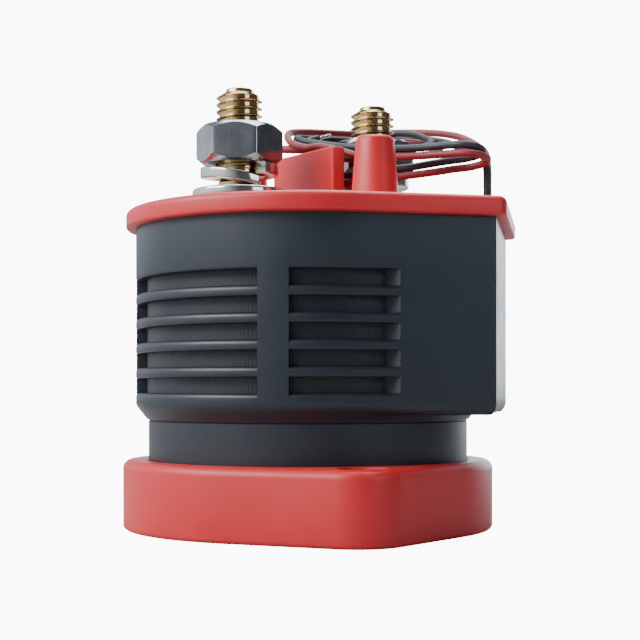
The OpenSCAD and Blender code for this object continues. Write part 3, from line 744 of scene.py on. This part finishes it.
def threaded_stud(bm, at, segments=72, per_pitch=20):
    """A shank, a collar, a helical thread that fades in above the collar, and a plain pilot at the tip."""
    rings = [circle(at, r, z, segments) for r, z in SHANK]
    rings += [circle(at, r, z, segments) for r, z in
              rounded([(SHANK_R, LID_TOP, 0), (COLLAR_R, LID_TOP, 0.25), (COLLAR_R, COLLAR_TOP, 0.35),
                       (PITCH_R, COLLAR_TOP, 0), (PITCH_R, THREAD_LOW, 0)], steps=3)[1:]]
    rows = round((THREAD_TOP - THREAD_LOW) / THREAD_PITCH * per_pitch)
    for i in range(1, rows + 1):
        z = THREAD_LOW + (THREAD_TOP - THREAD_LOW) * i / rows
        ring = []
        for k in range(segments):
            angle = math.tau * k / segments
            fade = min(1, (z - THREAD_LOW) / THREAD_PITCH)
            depth = thread_depth(z / THREAD_PITCH - k / segments) * fade
            r = min(THREAD_R - depth, stud_limit(z))
            ring.append((at[0] + r * math.cos(angle), at[1] + r * math.sin(angle), z))
        rings.append(ring)
    rings += [circle(at, r, z, segments) for r, z in
              rounded([(PILOT_R + 0.1, THREAD_TOP, 0), (PILOT_R, STUD_TOP, 0.3), (0.4, STUD_TOP, 0)], steps=4)]
    loft(bm, rings, cap_start=True, cap_end=True)


for side, at in STUDS.items():
    plated = turned_metal("plated_copper_" + side, (0.45, 0.31, 0.13), (0.59, 0.44, 0.22), (0.07, 0.14), at)
    bm = bmesh.new()
    threaded_stud(bm, at)
    piece("terminal_stud_" + side, bm, [plated], "stud_" + side, sharp=50)

# %% Make the washers
WASHER_R = 8
WASHER_BORE = 4.2
WASHER_TOP = 58.1
LOCK_R = (4.15, 6.65)
LOCK_T = 1.9
LOCK_RISE = 2.4
LOCK_SPLIT = math.radians(-42)
LOCK_GAP = math.radians(12)


def spring_washer(bm, at, steps=96):
    """A split ring with a rounded square section that springs up from its low end."""
    inner, outer = LOCK_R
    section = rounded([(inner, 0, 0.25), (outer, 0, 0.3), (outer, LOCK_T, 0.3), (inner, LOCK_T, 0.25)],
                      closed=True, steps=4)
    rings = []
    for i in range(steps + 1):
        angle = LOCK_SPLIT - LOCK_GAP / 2 - (math.tau - LOCK_GAP) * i / steps
        z = WASHER_TOP + LOCK_RISE * (1 - (1 - i / steps)**4)
        rings.append([(at[0] + r * math.cos(angle), at[1] + r * math.sin(angle), z + h) for r, h in section])
    loft(bm, rings, cap_start=True, cap_end=True)


for side, at in STUDS.items():
    zinc = turned_metal("zinc_plate_" + side, (0.54, 0.52, 0.47), (0.68, 0.66, 0.6), (0.1, 0.18), at)
    bm = bmesh.new()
    turned(bm, rounded([(WASHER_BORE, COLLAR_TOP, 0.2), (WASHER_R, COLLAR_TOP, 0.3),
                        (WASHER_R, WASHER_TOP, 0.5), (WASHER_BORE, WASHER_TOP, 0.2)],
                       closed=True, steps=4), at, closed=True)
    piece("plain_washer_" + side, bm, [zinc], "flat_washer_" + side)
    bm = bmesh.new()
    spring_washer(bm, at)
    piece("split_washer_" + side, bm, [zinc], "spring_washer_" + side)

# %% Make the nuts
NUT_Z = 62.4
NUT_H = 6.6
NUT_FLAT = 6.5
NUT_BORE = 3.65
NUT_SINK = 0.5
NUT_FACE_R = NUT_FLAT - 0.4
NUT_TURN = {"left": math.radians(66), "right": math.radians(64)}
NUT_BEVEL = math.tan(math.radians(40))


def nut_columns():
    """Points round the hexagon, with each corner turned by a small radius and each flat cut in ten."""
    corners = [(*heading(math.tau * k / 6, NUT_FLAT / math.cos(math.pi / 6)), 0.5) for k in range(6)]
    line = []
    soft = rounded(corners, closed=True, steps=4)
    for i, p in enumerate(soft):
        after = soft[(i + 1) % len(soft)]
        cuts = 10 if (after - p).length > 2 else 1
        line += [p.lerp(after, k / cuts) for k in range(cuts)]
    return line


def hex_nut(bm, at, turn):
    """A hexagon bevelled by a cone, so that each flat ends in an arc, with a countersunk bore."""
    spokes = [(math.atan2(p.y, p.x) + turn, p.length) for p in nut_columns()]
    middle = Vector(at)

    def plain_ring(radius, z):
        return [(*(middle + heading(a, radius)), NUT_Z + z) for a, _ in spokes]

    def bevel_ring(z, way):
        return [(*(middle + heading(a, r)), NUT_Z + z + way * (r - NUT_FACE_R) * NUT_BEVEL) for a, r in spokes]

    loft(bm, [plain_ring(NUT_BORE, NUT_SINK), plain_ring(NUT_BORE + NUT_SINK, 0), plain_ring(NUT_FACE_R, 0),
              bevel_ring(0, 1), bevel_ring(NUT_H, -1), plain_ring(NUT_FACE_R, NUT_H),
              plain_ring(NUT_BORE + NUT_SINK, NUT_H), plain_ring(NUT_BORE, NUT_H - NUT_SINK)],
         close_rings=True)


for side, at in STUDS.items():
    steel = turned_metal("nut_steel_" + side, (0.22, 0.23, 0.25), (0.34, 0.35, 0.37), (0.14, 0.24), at)
    bm = bmesh.new()
    hex_nut(bm, at, NUT_TURN[side])
    piece("terminal_nut_" + side, bm, [steel], "nut_" + side, sharp=24)

# %% [markdown]
# ## Grommet
# A rubber grommet fills the hole in the lid and grips the two leads.

# %% Make the grommet
GROMMET_R = 2.15
GROMMET_LIP = 2.8
GROMMET_TOP = 55.8
soft_rubber = moulded("soft_rubber", (0.012, 0.012, 0.014), (0.02, 0.02, 0.022), (0.03, 0.03, 0.032),
                      (0.6, 0.75))
bm = bmesh.new()
turned(bm, rounded([(0.4, BODY_TOP, 0), (GROMMET_R, BODY_TOP, 0), (GROMMET_R, LID_TOP, 0),
                    (GROMMET_LIP, LID_TOP, 0), (GROMMET_LIP, GROMMET_TOP, 0.5), (0.4, GROMMET_TOP, 0)]),
       GROMMET_AT, 48, cap_start=True, cap_end=True)
piece("rubber_grommet", bm, [soft_rubber], "lead_grommet")

# %% [markdown]
# ## Works inside
# The inner pieces keep their CAD shape, because each is a plain turned, stamped or wound part. Each gets the
# finish of its own material.

# %% Finish the inner pieces
nylon = moulded("nylon", (0.66, 0.61, 0.5), (0.74, 0.7, 0.6), (0.8, 0.77, 0.7), (0.45, 0.6))
ceramic = moulded("ceramic", (0.72, 0.69, 0.62), (0.8, 0.77, 0.7), (0.85, 0.83, 0.78), (0.55, 0.7), 0.2)
solder_mask = moulded("solder_mask", (0.02, 0.16, 0.07), (0.03, 0.2, 0.09), (0.05, 0.25, 0.12), (0.3, 0.4))
part_epoxy = moulded("part_epoxy", (0.015, 0.015, 0.017), (0.025, 0.025, 0.028), (0.05, 0.05, 0.055),
                     (0.4, 0.5))
soft_iron = turned_metal("soft_iron", (0.34, 0.35, 0.37), (0.44, 0.45, 0.47), (0.3, 0.45))
drawn_wire = turned_metal("drawn_wire", (0.45, 0.46, 0.48), (0.56, 0.57, 0.6), (0.25, 0.35))
bright_steel = turned_metal("bright_steel", (0.56, 0.57, 0.58), (0.68, 0.69, 0.7), (0.18, 0.3))
copper = turned_metal("copper", (0.6, 0.27, 0.15), (0.72, 0.36, 0.22), (0.22, 0.35))
enamel = turned_metal("enamelled_wire", (0.35, 0.12, 0.05), (0.48, 0.18, 0.08), (0.25, 0.4),
                      rings=900, marks=0.6)
silver = turned_metal("silver", (0.75, 0.74, 0.71), (0.84, 0.83, 0.8), (0.2, 0.3))
ferrite = moulded("ferrite", (0.05, 0.05, 0.055), (0.08, 0.08, 0.085), (0.12, 0.12, 0.125), (0.5, 0.65), 0.3)
INNER = {
    nylon: ["bobbin", "spring_seat"],
    ceramic: ["arc_chamber"],
    solder_mask: ["control_board"],
    part_epoxy: ["board_parts"],
    soft_iron: ["plunger", "fixed_core", "yoke_can", "yoke_plate", "magnet_keeper"],
    drawn_wire: ["contact_spring", "return_spring", "shaft_clip"],
    bright_steel: ["shaft", "guide_sleeve"],
    copper: ["bridge_bar", "fixed_contact_left", "fixed_contact_right"],
    enamel: ["coil_winding"],
    silver: ["bridge_pads"],
    ferrite: ["magnet_front", "magnet_rear"],
    soft_rubber: ["plunger_bumper"],
}
for finish, nodes in INNER.items():
    for node in nodes:
        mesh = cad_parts[node].data
        mesh.materials.clear()
        mesh.materials.append(finish)
print("inner pieces finished:", sum(len(nodes) for nodes in INNER.values()))

# %% [markdown]
# ## Springs
# Each spring gets its own copy of its mesh, and its box is read; nothing here shortens it as the armature
# rises. The return spring's upper end sits on the fixed core, and the contact spring's lower end on its seat.

# %% Give the springs their own meshes
for node, joint, still_end in (("return_spring", "plunger_slide", 1), ("contact_spring", "bridge_slide", 0)):
    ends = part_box(node)
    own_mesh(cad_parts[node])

# %% [markdown]
# ## Stage and light
# A plain pale floor and a white world, with three large soft lamps, as in a product photograph. Each fill is a
# patch of the world's light: its direction, then the cosines where it starts and is full, and its strengths.

# %% Floor and lamps
def studio_floor():
    """A wide pale floor."""
    bm = bmesh.new()
    bmesh.ops.create_circle(bm, cap_ends=True, segments=96, radius=4)
    mesh = bpy.data.meshes.new("studio_floor")
    bm.to_mesh(mesh)
    bm.free()
    floor = bpy.data.objects.new("studio_floor", mesh)
    bpy.context.collection.objects.link(floor)
    material, shader, add, link = new_finish("pale_floor")
    place = add("ShaderNodeTexCoord").outputs["Object"]
    slow = add("ShaderNodeTexNoise", {"Vector": place, "Scale": 8, "Detail": 3}).outputs["Fac"]
    link(blended(add, slow, (0.34, 0.34, 0.34), (0.36, 0.36, 0.36)), shader.inputs["Base Color"])
    shader.inputs["Roughness"].default_value = 0.8
    shader.inputs["Emission Color"].default_value = (1, 1, 1, 1)
    seen = add("ShaderNodeLightPath").outputs["Is Camera Ray"]
    link(ranged(add, seen, 0.05, 10, 0, 1), shader.inputs["Emission Strength"])
    mesh.materials.append(material)


def lamp(name, place, aim, size, power, tint=(1, 1, 1)):
    """A soft rectangular lamp, placed and aimed in mm."""
    data = bpy.data.lights.new(name, "AREA")
    data.shape = "RECTANGLE"
    data.size, data.size_y = size[0] * MM, size[1] * MM
    data.energy = power
    data.color = tint
    light = bpy.data.objects.new(name, data)
    bpy.context.collection.objects.link(light)
    light.location = Vector(place) * MM
    light.rotation_euler = (Vector(aim) * MM - light.location).to_track_quat("-Z", "Y").to_euler()


def studio_world():
    """White behind the object, with the fills as its light and reflections."""
    world = bpy.data.worlds.new("studio")
    bpy.context.scene.world = world
    world.use_nodes = True
    nodes, links = world.node_tree.nodes, world.node_tree.links
    way = nodes.new("ShaderNodeTexCoord")
    strength = None
    for direction, spread in FILLS:
        dot = nodes.new("ShaderNodeVectorMath")
        dot.operation = "DOT_PRODUCT"
        dot.inputs[1].default_value = direction
        links.new(way.outputs["Generated"], dot.inputs[0])
        fill = nodes.new("ShaderNodeMapRange")
        fill.interpolation_type = "SMOOTHSTEP"
        for key, value in zip(("From Min", "From Max", "To Min", "To Max"), spread):
            fill.inputs[key].default_value = value
        links.new(dot.outputs["Value"], fill.inputs["Value"])
        if strength:
            total = nodes.new("ShaderNodeMath")
            links.new(strength, total.inputs[0])
            links.new(fill.outputs["Result"], total.inputs[1])
            strength = total.outputs[0]
        else:
            strength = fill.outputs["Result"]
    soft_fill = nodes["Background"]
    soft_fill.inputs["Color"].default_value = (0.86, 0.93, 1, 1)
    links.new(strength, soft_fill.inputs["Strength"])
    white_sweep = nodes.new("ShaderNodeBackground")
    white_sweep.inputs["Color"].default_value = (1, 1, 1, 1)
    white_sweep.inputs["Strength"].default_value = SWEEP
    seen = nodes.new("ShaderNodeLightPath")
    choose = nodes.new("ShaderNodeMixShader")
    links.new(seen.outputs["Is Camera Ray"], choose.inputs["Fac"])
    links.new(soft_fill.outputs[0], choose.inputs[1])
    links.new(white_sweep.outputs[0], choose.inputs[2])
    links.new(choose.outputs[0], nodes["World Output"].inputs["Surface"])


FILLS = (
    (-right, (-0.1, 0.95, 0.13, 1.45)),
    ((right * 0.34 - back * 0.94).normalized(), (0.8, 0.985, 0, 5)),
)
SWEEP = 10
studio_floor()
studio_world()
lamp("key_lamp", (-360, -260, 330), (0, 0, 40), (440, 240), 3.6)
lamp("side_lamp", (390, -250, 170), (20, 0, 50), (200, 120), 0.32, (0.72, 0.86, 1))
lamp("top_lamp", (0, 100, 420), (0, 0, 50), (300, 300), 2.2)
print("stage ready")
